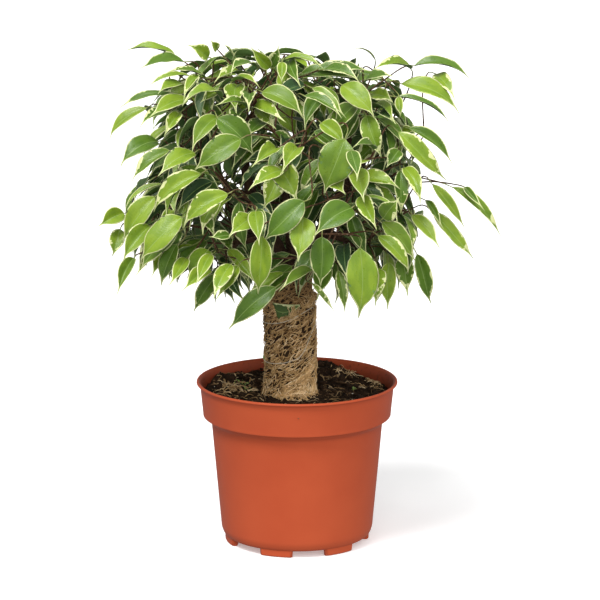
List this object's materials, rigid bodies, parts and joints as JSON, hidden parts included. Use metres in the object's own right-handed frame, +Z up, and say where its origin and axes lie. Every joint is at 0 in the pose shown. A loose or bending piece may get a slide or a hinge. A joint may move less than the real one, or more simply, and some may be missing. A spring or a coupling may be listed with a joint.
{
  "type": "potted weeping fig",
  "caption": "Small weeping fig with a round crown of arching variegated leaves on a coir-wrapped stump, in a tapered plastic nursery pot filled with soil.",
  "frame": {"origin": "middle of the whole plant's footprint, at the level of the undersides of the pot's feet", "axes": "+Z up along the plant's height, +X to the right and -Y towards the front of the crown"},
  "size_m": [0.3352, 0.3252, 0.4298],
  "materials": {
    "pot_plastic": "satin",
    "soil": "matte",
    "bark": "matte",
    "coir": "matte",
    "thread": "matte",
    "foliage": "satin"
  },
  "bodies": {
    "root": {"pot": "pot_plastic", "soil": "soil", "trunk": "bark", "coir_wrap": "coir", "binding_thread": "thread", "tucked_leaf": "foliage", "leafy_branch_01": "foliage", "leafy_branch_02": "foliage", "leafy_branch_03": "foliage", "leafy_branch_04": "foliage", "leafy_branch_05": "foliage", "leafy_branch_06": "foliage", "leafy_branch_07": "foliage", "leafy_branch_08": "foliage", "leafy_branch_09": "foliage", "leafy_branch_10": "foliage", "leafy_branch_11": "foliage", "leafy_branch_12": "foliage", "leafy_branch_13": "foliage", "leafy_branch_14": "foliage", "leafy_branch_15": "foliage", "leafy_branch_16": "foliage", "leafy_branch_17": "foliage", "leafy_branch_18": "foliage", "leafy_branch_19": "foliage", "leafy_branch_20": "foliage", "leafy_branch_21": "foliage", "leafy_branch_22": "foliage", "leafy_branch_23": "foliage"}
  },
  "joints": []
}
